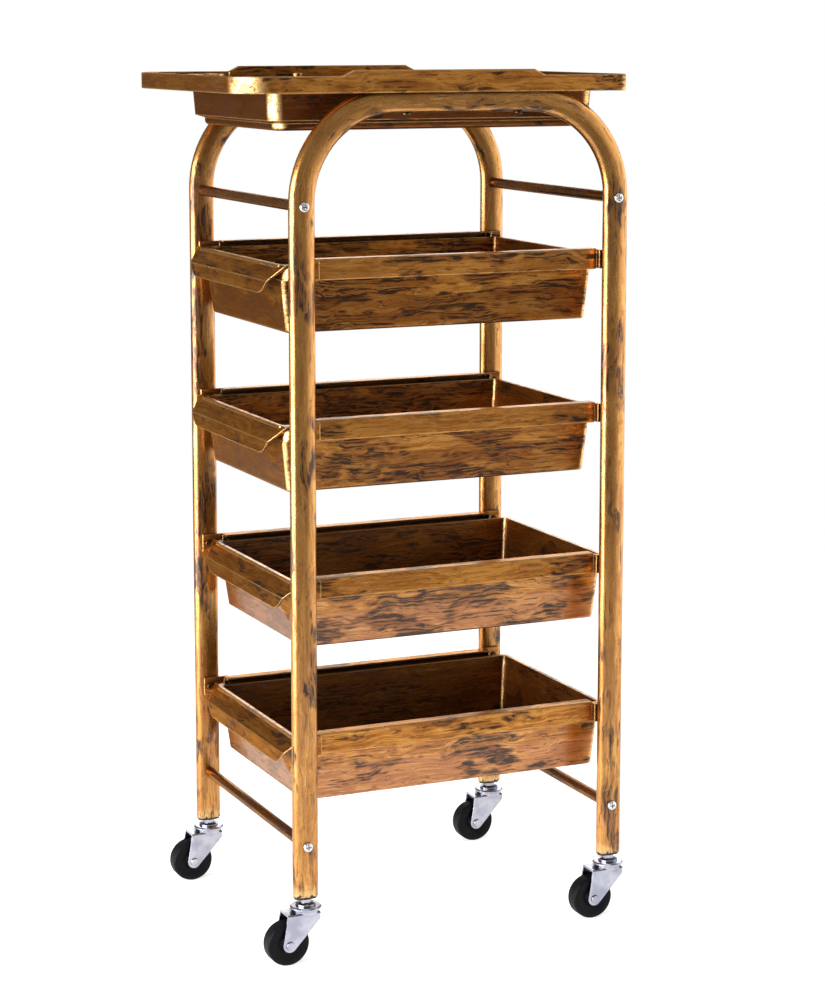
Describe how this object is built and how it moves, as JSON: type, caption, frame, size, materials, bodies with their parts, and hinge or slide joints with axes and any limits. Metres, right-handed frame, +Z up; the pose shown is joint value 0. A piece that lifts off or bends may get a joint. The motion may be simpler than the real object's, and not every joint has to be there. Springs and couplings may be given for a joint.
{
  "type": "rolling salon trolley",
  "caption": "Narrow salon trolley: two bent oval-tube side frames, a moulded top with a well, sliding tapered trays in channel rails, and swivel casters.",
  "frame": {"origin": "on the floor, at the centre of the overall box", "axes": "+Z up, -Y to the front where the trays pull out, +X to the right of someone looking along +Y; the object is mirror-symmetric about X = 0"},
  "size_m": [0.29, 0.3874, 0.802],
  "materials": {
    "bronze_metal": "antique bronze paint, hand brushed with dark streaks, satin",
    "bronze_plastic": "moulded plastic painted antique bronze with dark brushed streaks, satin",
    "zinc": "bright zinc plate",
    "dark_steel": "blackened steel",
    "bearing_steel": "polished",
    "black_plastic": "dull black",
    "wheel_black": "dull black, slightly worn tread"
  },
  "bodies": {
    "frame": {"side_frame_right": "bronze_metal", "side_frame_left": "bronze_metal", "cross_rod_upper_front": "bronze_metal", "cross_rod_upper_back": "bronze_metal", "cross_rod_lower_front": "bronze_metal", "cross_rod_lower_back": "bronze_metal", "rail_1_right": "bronze_plastic", "rail_1_left": "bronze_plastic", "rail_2_right": "bronze_plastic", "rail_2_left": "bronze_plastic", "rail_3_right": "bronze_plastic", "rail_3_left": "bronze_plastic", "rail_4_right": "bronze_plastic", "rail_4_left": "bronze_plastic", "top_tray": "bronze_plastic", "frame_screws": "zinc", "rail_screws": "dark_steel", "top_tray_screws": "dark_steel", "leg_plug_front_right": "black_plastic", "caster_stem_front_right": "zinc", "raceway_cap_front_right": "zinc", "swivel_balls_front_right": "bearing_steel", "leg_plug_front_left": "black_plastic", "caster_stem_front_left": "zinc", "raceway_cap_front_left": "zinc", "swivel_balls_front_left": "bearing_steel", "leg_plug_back_right": "black_plastic", "caster_stem_back_right": "zinc", "raceway_cap_back_right": "zinc", "swivel_balls_back_right": "bearing_steel", "leg_plug_back_left": "black_plastic", "caster_stem_back_left": "zinc", "raceway_cap_back_left": "zinc", "swivel_balls_back_left": "bearing_steel"},
    "tray_1_body": {"tray_1": "bronze_plastic"},
    "tray_2_body": {"tray_2": "bronze_plastic"},
    "tray_3_body": {"tray_3": "bronze_plastic"},
    "tray_4_body": {"tray_4": "bronze_plastic"},
    "fork_front_right_body": {"fork_front_right": "zinc", "axle_front_right": "zinc"},
    "wheel_front_right_body": {"wheel_front_right": "wheel_black"},
    "fork_front_left_body": {"fork_front_left": "zinc", "axle_front_left": "zinc"},
    "wheel_front_left_body": {"wheel_front_left": "wheel_black"},
    "fork_back_right_body": {"fork_back_right": "zinc", "axle_back_right": "zinc"},
    "wheel_back_right_body": {"wheel_back_right": "wheel_black"},
    "fork_back_left_body": {"fork_back_left": "zinc", "axle_back_left": "zinc"},
    "wheel_back_left_body": {"wheel_back_left": "wheel_black"}
  },
  "joints": [
    {"name": "tray_1_slide", "type": "slide", "parent": "frame", "child": "tray_1_body", "axis": [0, -1, 0], "range_m": [-0.0125, 0.1875]},
    {"name": "tray_2_slide", "type": "slide", "parent": "frame", "child": "tray_2_body", "axis": [0, -1, 0], "range_m": [-0.0125, 0.1875]},
    {"name": "tray_3_slide", "type": "slide", "parent": "frame", "child": "tray_3_body", "axis": [0, -1, 0], "range_m": [0, 0.2]},
    {"name": "tray_4_slide", "type": "slide", "parent": "frame", "child": "tray_4_body", "axis": [0, -1, 0], "range_m": [0, 0.2]},
    {"name": "caster_front_right_swivel", "type": "hinge", "parent": "frame", "child": "fork_front_right_body", "pos_m": [0.13, -0.13075, 0.05], "axis": [0, 0, 1], "continuous": true},
    {"name": "wheel_front_right_spin", "type": "hinge", "parent": "fork_front_right_body", "child": "wheel_front_right_body", "pos_m": [0.13, -0.14975, 0.02], "axis": [1, 0, 0], "continuous": true},
    {"name": "caster_front_left_swivel", "type": "hinge", "parent": "frame", "child": "fork_front_left_body", "pos_m": [-0.13, -0.13075, 0.05], "axis": [0, 0, 1], "continuous": true},
    {"name": "wheel_front_left_spin", "type": "hinge", "parent": "fork_front_left_body", "child": "wheel_front_left_body", "pos_m": [-0.13, -0.14975, 0.02], "axis": [1, 0, 0], "continuous": true},
    {"name": "caster_back_right_swivel", "type": "hinge", "parent": "frame", "child": "fork_back_right_body", "pos_m": [0.13, 0.17925, 0.05], "axis": [0, 0, 1], "continuous": true},
    {"name": "wheel_back_right_spin", "type": "hinge", "parent": "fork_back_right_body", "child": "wheel_back_right_body", "pos_m": [0.13, 0.16025, 0.02], "axis": [1, 0, 0], "continuous": true},
    {"name": "caster_back_left_swivel", "type": "hinge", "parent": "frame", "child": "fork_back_left_body", "pos_m": [-0.13, 0.17925, 0.05], "axis": [0, 0, 1], "continuous": true},
    {"name": "wheel_back_left_spin", "type": "hinge", "parent": "fork_back_left_body", "child": "wheel_back_left_body", "pos_m": [-0.13, 0.16025, 0.02], "axis": [1, 0, 0], "continuous": true}
  ]
}
